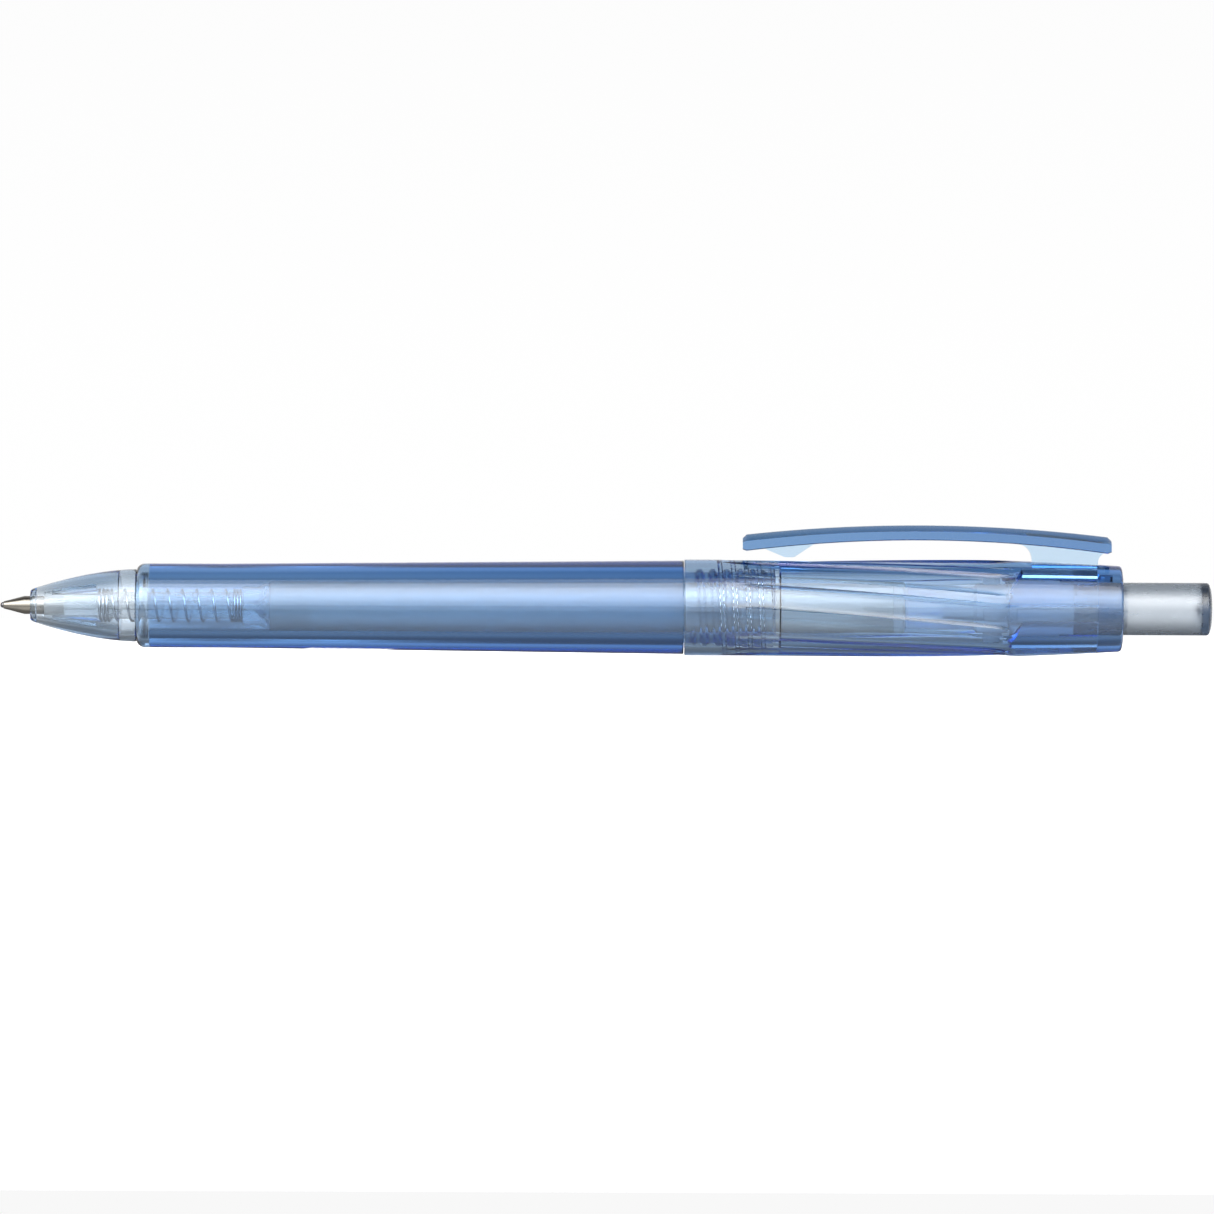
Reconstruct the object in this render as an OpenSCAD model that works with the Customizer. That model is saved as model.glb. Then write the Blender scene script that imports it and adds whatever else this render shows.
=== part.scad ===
// Retractable gel pen, tip out, lying along X with its clip up.
// The writing tip points to -X and the push button to +X. The pen rests on Z = 0, and the origin is
// the middle of its length. Every turned sub-part is drawn on its own axis as radius against t,
// the distance behind the writing tip in millimetres, and along_pen() lays it into the pen.

/* [Overall] */
// Length from the ball to the end of the button, tip out
pen_len = 148; // [146:0.5:152]
// How far the refill, rotor and button run back when the tip retracts
stroke = 4.6; // [4.2:0.1:4.6]
// How far past the latch the button can be pressed
overpress = 0.8; // [0.5:0.1:0.9]

/* [Barrels] */
// Radius of the straight grip behind the nose
grip_r = 5.16; // [5.1:0.02:5.3]
// Radius of the front barrel at the joint between the barrels
joint_r = 5.74; // [5.6:0.02:5.8]
// Largest radius of the rear barrel
rear_r = 5.93; // [5.9:0.01:6.1]
// Radius of the rear barrel at its tail
tail_r = 5.25; // [5.2:0.05:5.4]
// Pitch of the thread between the barrels
thread_pitch = 1.6; // [1.4:0.1:1.7]

/* [Button] */
// Radius of the push button
button_r = 3.22; // [3.1:0.02:3.24]

/* [Clip] */
// Width of the clip where it leaves the barrel
clip_w = 5.4; // [4.8:0.1:6]
// Width of the web that joins the clip to the barrel
web_w = 1.4; // [1.2:0.1:2.2]
// Height of the clip's top above the pen's axis at its highest
clip_top_h = 10.13; // [10:0.01:10.5]

/* [Refill] */
// Radius of the ink tube
tube_r = 3; // [2.9:0.02:3.02]
// Radius of the ball
ball_r = 0.35; // [0.25:0.05:0.35]

/* [Hidden] */

$fn = 96;
axis_z = rear_r;
run_gap = 0.1;    // radial gap of a part that slides or turns
seat_gap = 0.03;  // gap between faces that rest against each other
joint_gap = 0.06; // gap that shows between two barrels
bury = 0.2;       // depth that a joined shape runs into its neighbour
edge = 0.1;       // bevel on a thin rim
corner = 0.4;     // radius of a rounded outside corner

// Colours
pale_blue = [0.55, 0.7, 0.88, 0.55];
clear = [0.88, 0.92, 0.96, 0.5];
milky = [0.93, 0.94, 0.96, 0.8];
steel = [0.75, 0.74, 0.7];
ink_blue = [0.45, 0.6, 0.85];

// Nose cone
nose_front = 3.7;
nose_back = 16.65;
nose_front_r = 2.04;
nose_back_r = 4.45;
nose_swell = 1.72;     // power of the curve from the small end to the large one
nose_hole_r = 1.25;
nose_lip = 0.3;        // length of the bevelled lip before the curve starts
nose_wall = 0.8;       // thickness of the ring round the hole
cone_bore_from = 1.75; // radius of the tapered inside at its front, and at the window
cone_bore_to = 3.36;
window_at = 14.6;      // where the inside steps out to the thin tenon
tenon_r = 4.1;
tenon_wall = 0.35;
seat_ribs = 4;         // ribs inside the nose that the spring pushes on
seat_rib_from = 6.5;
seat_rib_w = 0.5;
spring_seat = 11.9;    // where they end
tenon_end = 18.2;

// Barrels
front_at = nose_back + joint_gap;
front_round = 1.1;     // length of the rounded front edge
grip_end = 27.4;       // where the straight grip ends and the barrel starts to widen
joint_at = 83.45;
neck_end = 94.4;
neck_r = 4.35;
crest_r = 4.75;
front_bore_r = 3.15;
neck_bore_r = 3.35;
thread_at = 84.6;
thread_turns = 6;
thread_flank = 0.35;   // length of a ridge's sloping side
thread_land = 0.4;     // length of its flat crest
rear_front_r = 5.86;
widest_at = 119;
tail_swell = 1.6;      // power of the curve from the widest place to the tail
tail_round = 0.6;      // length of the rounded tail edge
barrel_tail = 137.1;
socket_end = 95.3;
rear_bore_r = 4.4;
clip_pocket_r = 4.85;

// Cam in the rear barrel
guide_r = 3.5;
guide_at = 122.6;      // foremost tips of the guide ribs
guide_end = 133.8;
slot_count = 4;
slot_width = 24;       // degrees
slot_turn = 280.5;     // degrees round from straight down to the middle of the first slot
catch_width = 45;      // degrees of each rib that the catching tooth takes
catch_from = 124.7;    // where the catching tooth's ramp starts and where it ends
catch_to = 123.1;
release_from = 123.5;  // the same for the tooth that leads into the next slot
ramp_room = 4;         // size of the block that cuts a ramp

// Button and plunger
button_front = 130.9;
button_bore_r = 2.6;
button_floor = 1.3;
button_dish = 0.6;     // how far the inside of the end runs to a point
plunger_at = 123.15;
plunger_bore_r = 1.9;
plunger_r = guide_r - run_gap;
ear_r = 4.25;
ear_at = 124;
ear_end = guide_end - stroke - 0.05;
ear_width = 18;        // degrees
ear_root = 0.3;        // depth that an ear runs into its sleeve
stem_end = 137.5;      // end of the stem that plugs into the button

// Rotor
rotor_front = 110.5;
rotor_r = 3;
rotor_neck_r = 2.6;
rotor_bore_r = 1.6;
rotor_bore_depth = 8;
rib_at = 119.95;
rib_end = 122.35;
rotor_end = 123.05;
rib_bevel = 0.35;
rib_slope = 27;        // degrees that the ribs' ends slope to climb the catching teeth
crown_teeth = 8;
crown_depth = 0.45;

// Clip
clip_tip = 90.6;
clip_end = 135.6;
clip_mid = 112.3;      // where the arch is highest
clip_thick = 1.86;
clip_top_sag = 190;    // radius of the arch above
clip_low_sag = 167;    // radius of the arch below
web_front = 124.2;
web_foot = 125.9;
web_back = 134;
heel = 1.2;            // reach of the fillet behind the web
clip_split = 124;      // the arm bends about this place
split_gap = 0.12;
clip_tip_w = clip_w - 0.7;
bump = [93.4, 95.9, 96.8, 99.3];  // where the bump starts, is lowest from and to, and ends
bump_h = 6.15;         // height of its lowest place above the pen's axis

// Refill
holder_front = 5.5;
holder_r = 1.65;
flange_at = 29.75;
flange_r = 2.35;
flange_len = 1.9;
tube_at = 33;
tube_end = 109;
tube_bore_r = 2.55;
socket_wall = 0.5;     // wall of the holder's spigot inside the tube
socket_len = 5;
ball_gap_r = ball_r + 0.01;
ball_cup = 0.85;       // depth of the socket that holds the ball
rim_r = 0.48;          // metal rolled over the ball
collar_r = 0.65;
collar_end = 1.2;
cone_end = 2.95;
shank_r = 1.11;
shank_end = 7.9;
point_bore_r = 0.4;
channel_r = 0.5;
ink_end = 88;
grease_end = 92.5;
plug_len = 4;
plug_end = 110.4;

// Springs
spring_r = 1.9;
wire_r = 0.14;
spring_turns = [3, 8.5, 3];
closed_len = [1.3, 1.1];  // lengths of the closed coils at the front and the back
seat_spring_at = 1.9;
seat_spring_r = 0.26;
seat_wire_r = 0.06;

module along_pen() translate([-pen_len / 2, 0, axis_z]) rotate([0, 90, 0]) children();
module turned(points) along_pen() rotate_extrude() polygon(points);
module side_plate(width, points)
  translate([-pen_len / 2, 0, axis_z]) rotate([90, 0, 0])
    linear_extrude(height = width, center = true) polygon(points);

// Outlines as [r, t]
function nose_outside() = [for (i = [0:12]) let (u = i / 12)
  [nose_front_r + (nose_back_r - nose_front_r) * (1 - pow(1 - u, nose_swell)),
   nose_front + nose_lip + u * (nose_back - nose_front - nose_lip)]];
function cone_bore(t) = cone_bore_from + (cone_bore_to - cone_bore_from)
  * (t - nose_front - nose_wall) / (window_at - nose_front - nose_wall);
function rear_outside() = [for (i = [0:10]) let (u = i / 10)
  [rear_r - (rear_r - tail_r) * pow(u, tail_swell),
   widest_at + u * (barrel_tail - tail_round - widest_at)]];
function ring(r, t, radius, from, to, steps) =
  [for (i = [0:steps]) let (a = from + (to - from) * i / steps)
    [r + radius * cos(a), t + radius * sin(a)]];
function thread_ridge(t) = [[neck_r, t], [crest_r, t + thread_flank],
  [crest_r, t + thread_flank + thread_land], [neck_r, t + 2 * thread_flank + thread_land]];
function clip_top(t) = clip_top_h - pow(t - clip_mid, 2) / (2 * clip_top_sag);
function clip_low(t) = clip_top_h - clip_thick - pow(t - clip_mid, 2) / (2 * clip_low_sag);
// Points along the clip's top or underside, from one place to another
function arc_line(from, to, steps, top) = [for (i = [0:steps])
  let (t = from + i * (to - from) / steps) [t, top ? clip_top(t) : clip_low(t)]];

// The clear front end, plugged into the barrel behind it
module nose_cone() color(clear) {
  turned(concat(
    [[nose_hole_r, nose_front], [nose_front_r - 2 * edge, nose_front]],
    nose_outside(),
    [[tenon_r, nose_back], [tenon_r, tenon_end], [tenon_r - tenon_wall, tenon_end],
     [tenon_r - tenon_wall, window_at], [cone_bore_to, window_at],
     [cone_bore_from, nose_front + nose_wall], [nose_hole_r, nose_front + nose_wall]]));
  along_pen() for (i = [0:seat_ribs - 1])
    rotate([0, 0, (i + 0.5) * 360 / seat_ribs]) rotate([90, 0, 0])
      linear_extrude(height = seat_rib_w, center = true) polygon([
        [holder_r + 2 * run_gap, seat_rib_from], [cone_bore(seat_rib_from) + bury, seat_rib_from],
        [cone_bore(spring_seat) + bury, spring_seat], [holder_r + 2 * run_gap, spring_seat]]);
}

// The long grip half, with the male thread on its neck
module front_barrel() color(pale_blue) turned(concat(
  [[tenon_r + seat_gap, front_at], [nose_back_r, front_at]],
  [for (a = [15:15:90]) [nose_back_r + (grip_r - nose_back_r) * sin(a),
                         front_at + front_round * (1 - cos(a))]],
  [[grip_r, grip_end], [joint_r, joint_at - edge], [joint_r - edge, joint_at], [neck_r, joint_at]],
  [for (i = [0:thread_turns - 1]) each thread_ridge(thread_at + i * thread_pitch)],
  [[neck_r, neck_end - 2 * edge], [neck_r - edge, neck_end], [neck_bore_r, neck_end],
   [front_bore_r, tenon_end + run_gap], [tenon_r + seat_gap, tenon_end + run_gap]]));

// What is cut from the front of a rib to leave a ramp from ramp_from down to ramp_to
module ramp_cut(at, width, ramp_from, ramp_to) {
  middle_r = (guide_r + rear_bore_r) / 2;
  slope = atan((ramp_from - ramp_to) / (2 * middle_r * tan(width / 2)));
  intersection() {
    rotate([0, 0, at]) rotate_extrude(angle = width)
      translate([guide_r - bury, guide_at - bury]) square([rear_bore_r - guide_r + 3 * bury, ramp_room]);
    rotate([0, 0, at + width / 2]) translate([0, 0, (ramp_from + ramp_to) / 2])
      rotate([-slope, 0, 0]) translate([0, -ramp_room, -ramp_room]) cube([rear_r, 2 * ramp_room, ramp_room]);
  }
}

// One rib that guides the button and stops the rotor: a catching tooth, then one that releases
module guide_rib() {
  width = 360 / slot_count - slot_width;
  difference() {
    rotate_extrude(angle = width)
      translate([guide_r, guide_at]) square([rear_bore_r - guide_r + bury, guide_end - guide_at + bury]);
    ramp_cut(0, catch_width, catch_from, catch_to);
    ramp_cut(catch_width, width - catch_width, release_from, guide_at);
  }
}

// The half with the clip, which also holds the cam of the click mechanism
module rear_barrel() color(pale_blue) difference() {
  along_pen() union() {
    rotate_extrude() polygon(concat(
      [[crest_r + run_gap, joint_at + joint_gap], [rear_front_r - edge, joint_at + joint_gap],
       [rear_front_r, joint_at + joint_gap + edge]],
      rear_outside(),
      ring(tail_r - corner, barrel_tail - tail_round, corner, 15, 75, 4),
      [[button_r + corner, barrel_tail], [button_r + run_gap, barrel_tail - edge],
       [button_r + run_gap, guide_end], [rear_bore_r, guide_end], [rear_bore_r, socket_end],
       [crest_r + run_gap, socket_end - 2 * edge]]));
    for (i = [0:slot_count - 1])
      rotate([0, 0, slot_turn + slot_width / 2 + i * 360 / slot_count]) guide_rib();
  }
  translate([web_foot - run_gap - pen_len / 2, -web_w / 2 - seat_gap, axis_z + clip_pocket_r])
    cube([web_back - web_foot + 2 * run_gap, web_w + 2 * seat_gap, rear_r]);
}

// The end of the clip that is fixed to the barrel
module clip_root() color(pale_blue) {
  from = clip_split + split_gap / 2;
  low_front = clip_low(web_front);
  low_back = clip_low(web_back);
  side_plate(clip_w, concat(
    arc_line(from, clip_end - corner, 6, true),
    [[clip_end, clip_top(clip_end) - corner], [clip_end, clip_low(clip_end)]],
    arc_line(clip_end - bury, from, 6, false)));
  side_plate(web_w, concat(
    [[web_front, low_front + bury]],
    [for (a = [0:30:90]) [web_front + (web_foot - web_front) * sin(a),
                          low_front - (low_front - rear_r) * (1 - cos(a))]],
    [[web_foot, clip_pocket_r + seat_gap], [web_back, clip_pocket_r + seat_gap],
     [web_back, low_back - heel]],
    [for (a = [30:30:90]) [web_back + heel * (1 - cos(a)), low_back - heel * (1 - sin(a))]],
    [[web_back + heel, low_back + bury]]));
}

// The springy end of the clip, with the bump that grips a pocket
module clip_arm() color(pale_blue) {
  to = clip_split - split_gap / 2;
  taper = atan((clip_w - clip_tip_w) / 2 / (to - clip_tip));
  difference() {
    side_plate(clip_w, concat(
      [[clip_tip, clip_low(clip_tip) + bury], [clip_tip, clip_top(clip_tip) - corner]],
      arc_line(clip_tip + corner, to, 12, true),
      arc_line(to, clip_tip + bury, 12, false)));
    for (side = [-1, 1])
      translate([clip_tip - pen_len / 2, side * clip_tip_w / 2, axis_z])
        rotate([0, 0, side * taper])
          translate([-1, side > 0 ? 0 : -clip_w, 0]) cube([to - clip_tip + 1, clip_w, 2 * clip_top_h]);
  }
  side_plate(web_w, [[bump[0], clip_low(bump[0]) + bury], [bump[0], clip_low(bump[0])], [bump[1], bump_h],
                     [bump[2], bump_h], [bump[3], clip_low(bump[3])], [bump[3], clip_low(bump[3]) + bury]]);
}

// The clear button that the thumb presses
module push_button() color(clear) turned(concat(
  [[button_bore_r, button_front], [button_r, button_front]],
  ring(button_r - corner, pen_len - 3 * edge - corner, corner, 0, 75, 5),
  [[button_r / 2, pen_len - edge], [0, pen_len], [0, pen_len - button_floor - button_dish],
   [button_bore_r / 2, pen_len - button_floor - edge], [button_bore_r, pen_len - button_floor]]));

// A crown of V-shaped teeth cut into an end face at t
module crown_cut(t) for (i = [0:crown_teeth - 1])
  rotate([0, 0, (i + 0.5) * 360 / crown_teeth]) translate([rotor_r, 0, t])
    rotate([45, 0, 0]) cube([rotor_r, crown_depth * sqrt(2), crown_depth * sqrt(2)], center = true);

// The toothed sleeve that the button drives, with ears that run in the barrel's slots
module cam_plunger() color(milky) along_pen() difference() {
  union() {
    translate([0, 0, plunger_at]) cylinder(r = plunger_r, h = ear_end - plunger_at);
    translate([0, 0, ear_end - 1]) cylinder(r = button_r, h = button_front - seat_gap - ear_end + 1);
    translate([0, 0, button_front - 1])
      cylinder(r = button_bore_r - seat_gap, h = stem_end - button_front + 1);
    for (i = [0:slot_count - 1])
      rotate([0, 0, slot_turn - ear_width / 2 + i * 360 / slot_count])
        rotate_extrude(angle = ear_width)
          translate([button_r - ear_root, ear_at]) square([ear_r - button_r + ear_root, ear_end - ear_at]);
  }
  translate([0, 0, plunger_at - 1]) cylinder(r = plunger_bore_r, h = stem_end - plunger_at + 2);
  crown_cut(plunger_at);
}

// The rotating cam that turns an eighth of a turn at each click
module rotor() color(milky) along_pen() difference() {
  union() {
    rotate_extrude() polygon([
      [0, rotor_front], [rotor_neck_r - 3 * edge, rotor_front], [rotor_neck_r, rotor_front + 3 * edge],
      [rotor_neck_r, rib_at - 3 * corner], [rotor_r, rib_at - 2 * corner],
      [rotor_r, rotor_end], [0, rotor_end]]);
    for (i = [0:slot_count - 1])
      rotate([0, 0, slot_turn - ear_width / 2 + i * 360 / slot_count])
        difference() {
          rotate_extrude(angle = ear_width)
            translate([rotor_r - ear_root, rib_at]) square([ear_r - rotor_r + ear_root, rib_end - rib_at]);
          rotate([0, 0, ear_width / 2]) translate([rotor_r - 2 * ear_root, 0, rib_end - rib_bevel])
            rotate([-rib_slope, 0, 0]) translate([0, -rotor_r / 2, 0]) cube([rotor_r, rotor_r, rotor_r]);
        }
  }
  translate([0, 0, rotor_end - rotor_bore_depth]) cylinder(r = rotor_bore_r, h = rotor_bore_depth + 1);
  crown_cut(rotor_end);
}

// A coil of round wire: turns[i] is how many turns lie along lengths[i], from t
module coil(t, r, wire, turns, lengths, per_turn, sides) {
  total = turns[0] + turns[1] + turns[2];
  function at(n) = n < turns[0] ? lengths[0] * n / turns[0]
    : n < turns[0] + turns[1] ? lengths[0] + lengths[1] * (n - turns[0]) / turns[1]
    : lengths[0] + lengths[1] + lengths[2] * (n - turns[0] - turns[1]) / turns[2];
  rings = round(total * per_turn);
  points = [for (i = [0:rings]) let (n = total * i / rings, a = 360 * n)
    for (s = [0:sides - 1]) let (b = 360 * s / sides)
      [(r + wire * cos(b)) * cos(a), (r + wire * cos(b)) * sin(a), t + wire + at(n) + wire * sin(b)]];
  faces = concat(
    [[for (s = [0:sides - 1]) s]],
    [for (i = [0:rings - 1]) for (s = [0:sides - 1]) let (n = (s + 1) % sides)
      each [[i * sides + s, (i + 1) * sides + s, i * sides + n],
            [i * sides + n, (i + 1) * sides + s, (i + 1) * sides + n]]],
    [[for (s = [sides - 1:-1:0]) rings * sides + s]]);
  polyhedron(points, faces);
}

// The spring between the nose and the refill, closed at both ends
module return_spring() color(steel) along_pen()
  coil(spring_seat + seat_gap, spring_r, wire_r, spring_turns,
       [closed_len[0], flange_at - spring_seat - 2 * (seat_gap + wire_r) - closed_len[0] - closed_len[1],
        closed_len[1]], 16, 8);

module ball() color(steel) along_pen() translate([0, 0, ball_r]) sphere(r = ball_r);

// The tiny spring that keeps the ball shut against its seat
module ball_spring() color(steel) along_pen()
  coil(seat_spring_at, seat_spring_r, seat_wire_r, [1, 7, 1], [0.2, 4.6, 0.2], 12, 6);

// The metal writing point
module point() color(steel) turned([
  [ball_gap_r, ball_r + 0.03], [rim_r - 0.05, ball_r + 0.06], [rim_r, ball_r + 0.15], [collar_r, collar_end],
  [shank_r, cone_end], [shank_r, shank_end], [point_bore_r, shank_end], [point_bore_r, collar_end],
  [ball_gap_r, ball_cup]]);

// The clear holder that joins the point to the ink tube
module point_holder() color(clear) turned([
  [shank_r + seat_gap, holder_front], [holder_r - edge, holder_front], [holder_r, holder_front + edge],
  [holder_r, flange_at], [flange_r - edge, flange_at], [flange_r, flange_at + edge],
  [flange_r, flange_at + flange_len], [tube_r, tube_at - seat_gap],
  [tube_bore_r - seat_gap, tube_at - seat_gap],
  [tube_bore_r - seat_gap, tube_at + socket_len], [tube_bore_r - socket_wall, tube_at + socket_len],
  [tube_bore_r - socket_wall, tube_at], [channel_r, tube_at - flange_len],
  [channel_r, shank_end + seat_gap], [shank_r + seat_gap, shank_end + seat_gap]]);

module refill_tube() color(milky) turned([
  [tube_bore_r, tube_at], [tube_r, tube_at], [tube_r, tube_end], [tube_bore_r, tube_end]]);

// Ink in the holder's channel and the tube
module ink() color(ink_blue) turned([
  [0, shank_end + edge], [channel_r - seat_gap, shank_end + edge],
  [channel_r - seat_gap, tube_at - flange_len],
  [tube_bore_r - socket_wall - seat_gap, tube_at + seat_gap],
  [tube_bore_r - socket_wall - seat_gap, tube_at + socket_len + seat_gap],
  [tube_bore_r - seat_gap, tube_at + socket_len + seat_gap],
  [tube_bore_r - seat_gap, ink_end], [0, ink_end]]);

// Clear grease that follows the ink down the tube
module ink_follower() color(clear) along_pen()
  translate([0, 0, ink_end + seat_gap]) cylinder(r = tube_bore_r - seat_gap, h = grease_end - ink_end);

// Vented plug that closes the tube
module refill_plug() color(milky) turned([
  [channel_r, tube_end - plug_len], [tube_bore_r - seat_gap, tube_end - plug_len],
  [tube_bore_r - seat_gap, tube_end + seat_gap], [tube_r, tube_end + seat_gap],
  [tube_r, plug_end - 2 * edge], [tube_r - 2 * edge, plug_end], [channel_r, plug_end]]);

nose_cone();
front_barrel();
rear_barrel();
clip_root();
clip_arm();
push_button();
cam_plunger();
rotor();
return_spring();
ball();
ball_spring();
point();
point_holder();
refill_tube();
ink();
ink_follower();
refill_plug();
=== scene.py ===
"""Looks of the retractable gel pen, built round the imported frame.

Places are given as in the CAD part: t is the distance behind the writing tip and r the distance from
the pen's axis, both in millimetres. An angle runs round the pen in degrees, from straight up towards
the side that the camera sees.
"""

import math

import bmesh
import bpy
from mathutils import Matrix, Vector


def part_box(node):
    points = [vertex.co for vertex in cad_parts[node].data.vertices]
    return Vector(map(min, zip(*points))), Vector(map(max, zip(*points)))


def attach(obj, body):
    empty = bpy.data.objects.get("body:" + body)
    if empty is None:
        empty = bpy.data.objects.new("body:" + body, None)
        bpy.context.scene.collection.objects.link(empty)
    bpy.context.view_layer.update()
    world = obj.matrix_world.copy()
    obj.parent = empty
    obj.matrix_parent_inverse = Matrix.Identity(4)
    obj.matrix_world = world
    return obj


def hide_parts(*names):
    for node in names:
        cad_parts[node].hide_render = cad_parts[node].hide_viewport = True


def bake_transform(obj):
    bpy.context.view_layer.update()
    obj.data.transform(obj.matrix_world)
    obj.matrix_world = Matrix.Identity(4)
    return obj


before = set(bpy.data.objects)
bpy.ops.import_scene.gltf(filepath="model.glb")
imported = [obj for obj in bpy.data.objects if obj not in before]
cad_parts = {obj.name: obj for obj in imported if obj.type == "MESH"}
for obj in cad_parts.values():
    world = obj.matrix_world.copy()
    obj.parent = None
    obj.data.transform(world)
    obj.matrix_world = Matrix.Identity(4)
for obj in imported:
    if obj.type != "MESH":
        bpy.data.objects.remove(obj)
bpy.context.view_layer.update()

MM = 0.001
TIP_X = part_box("ball")[0][0]
BARREL_LOW, BARREL_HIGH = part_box("rear_barrel")
AXIS_Z = (BARREL_LOW[2] + BARREL_HIGH[2]) / 2
PEN_LEN = (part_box("push_button")[1][0] - TIP_X) / MM

# ---------------------------------------------------------------- sizes, in millimetres
GAP = 0.03              # air left between two pieces that touch

NOSE_FRONT = 3.72
NOSE_BACK = 16.65
NOSE_FRONT_R = 2.02
NOSE_BACK_R = 4.43
NOSE_SWELL = 1.72       # power of the curve from the small end to the large one
NOSE_LIP = 0.3          # length of the bevelled lip before the curve starts
NOSE_WALL = 0.8         # thickness of the ring round the hole
NOSE_HOLE_R = 1.25
SPRING_SEAT = 11.9
WINDOW_AT = 14.6
CONE_BORE_FROM = 1.76
CONE_BORE_TO = 3.37
SEAT_RIBS = 4
SEAT_RIB_R = 1.86
SEAT_RIB_FROM = 6.5
SEAT_RIB_WIDTH = 0.48
TENON_R = 4.08          # the tenon plugs into the front barrel
TENON_WALL = 0.34
TENON_END = 18.2

FRONT_AT = 16.69
FRONT_ROUND = 1.1
GRIP_R = 5.14
GRIP_END = 27.4
JOINT_R = 5.72
JOINT_AT = 83.44
NECK_END = 94.4
NECK_R = 4.35
CREST_R = 4.72          # radius over the thread's ridges
FRONT_BORE_R = 3.17
NECK_BORE_R = 3.37
THREAD_FROM = 84.3
THREAD_TO = 93.6
THREAD_PITCH = 1.6
RIDGE_FLANK = 0.2       # shares of the pitch: a ridge's slope, and where its second slope starts
RIDGE_FALL = 0.45
NUT_FROM = 87.4         # where the ridges inside the rear barrel start and end
NUT_TO = 94.7
NUT_DEPTH = 0.1
NUT_MIDDLE = 0.825      # shares of the pitch: the middle of an inside ridge, its half width, its slope
NUT_HALF = 0.175
NUT_FLANK = 0.06

REAR_AT = 83.52
REAR_FRONT_R = 5.85
REAR_R = 5.92
WIDEST_AT = 119
TAIL_AT = 137.08
TAIL_R = 5.25
TAIL_SWELL = 1.6        # power of the curve from the widest place to the tail
TAIL_ROUND = 0.6        # length of the rounded tail edge
TAIL_CORNER = 0.45      # its radius
SOCKET_R = 4.86
SOCKET_END = 95.3
REAR_BORE_R = 4.42
GUIDE_R = 3.52
GUIDE_AT = 122.62       # foremost tips of the cam's guide ribs
GUIDE_END = 133.8
TAIL_BORE_R = 3.33
SLOTS = 4
SLOT_WIDTH = 24         # degrees
SLOT_ANGLE = 99.5       # degrees, middle of the slot that faces the camera
CATCH_WIDTH = 45        # degrees of each rib that the catching tooth takes
CATCH_FROM = 124.7      # where the catching tooth's ramp starts and ends
CATCH_TO = 123.1
RELEASE_FROM = 123.5    # where the ramp into the next slot starts

FLUTES = 9
FLUTE_DEPTH = 0.33
FLUTE_LAND = 0.24       # share of each flute's width that stays at full radius
FLUTE_FROM = 87.3
FLUTE_TO = 124.3
FLUTE_ANGLE = 53        # degrees, a land's middle where the flutes start
FLUTE_TWIST = 21        # degrees that the flutes turn over their length at an even rate
FLUTE_TWIST_MORE = 8    # degrees that they turn on top, ever faster

BUTTON_R = 3.21
BUTTON_BORE_R = 2.6
BUTTON_FRONT = 130.9
BUTTON_FLOOR = 146.7
BUTTON_CORNER = 0.4     # radius of the edge round its end
BUTTON_CROWN = 0.3      # how far the middle of its end stands out

CLIP_TIP = 90.62
CLIP_END = 135.58
CLIP_MID = 112.3
CLIP_TOP = 10.12        # above the axis, where the arch is highest
CLIP_THICK = 1.85
CLIP_TOP_SAG = 190      # radius of the arch along its top, and along its underside
CLIP_LOW_SAG = 167
CLIP_WIDTH = 5.38
CLIP_TIP_WIDTH = 4.7
CLIP_CORNER = 0.4       # radius of the arm's corners at its tip and heel
CLIP_EDGE = 0.1         # bevel along its underside
# Its top, from the shoulder to the middle: shares of the half width and of the height above the shoulder
CLIP_CROWN = [(0.92, 0.2), (0.62, 0.86), (0.5, 0.97), (0.2, 1)]
# The web that joins the arm to the barrel, and the bump under the tip: t or (t, height above the axis)
WEB_WIDTH = 1.4
WEB_FRONT = 124.25
WEB_FOOT = 125.9
WEB_FOOT_H = 5.95       # height above the axis where the front curve meets the barrel
WEB_BACK = 134
WEB_HEEL = 1.2          # radius of the curve from the web's back to the arm
WEB_SINK = [(WEB_FOOT, 5.63), (WEB_BACK, 5.13)]
POCKET = [(125.8, 5.6), (134.1, 5.1), (134.1, 8), (125.8, 8)]
BUMP_FROM = 93.4
BUMP_FOOT = [(95.7, 6.2), (96, 6.16), (96.7, 6.16), (97, 6.22)]
BUMP_TO = 99.2

POINT_CONE = [(0.39, 0.37), (0.4, 0.42), (0.5, 0.47), (1.2, 0.64), (2.1, 0.885), (2.95, 1.1)]
SHANK_R = 1.1
SHANK_END = 7.9
HOLDER_FROM = 5.5
HOLDER_NECK_R = 1.65
HOLDER_COLLAR = 29.75   # where the neck steps out to the collar
HOLDER_COLLAR_R = 2.35
HOLDER_END = 38
CHANNEL_R = 0.48
TUBE_FROM = 33
TUBE_END = 109
TUBE_R = 3
TUBE_BORE_R = 2.55

WIRE_R = 0.15
COIL_R = 1.92           # from the pen's axis to the middle of the wire
COIL_FROM = SPRING_SEAT + GAP
COIL_TO = 29.7
COIL_TURNS = [3, 8.5, 3]  # closed, open and closed
CLOSED_FRONT = 1.3      # lengths of the closed ends
CLOSED_BACK = 1.1


# ---------------------------------------------------------------- mesh helpers
def at(t, r, angle):
    """The place t behind the tip and r from the axis, round the pen by angle."""
    a = math.radians(angle)
    return Vector((TIP_X + t * MM, -r * math.sin(a) * MM, AXIS_Z + r * math.cos(a) * MM))


def smooth(low, high, x):
    """0 below low, 1 above high, and an even S-curve between."""
    u = min(1, max(0, (x - low) / (high - low)))
    return u * u * (3 - 2 * u)


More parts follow.
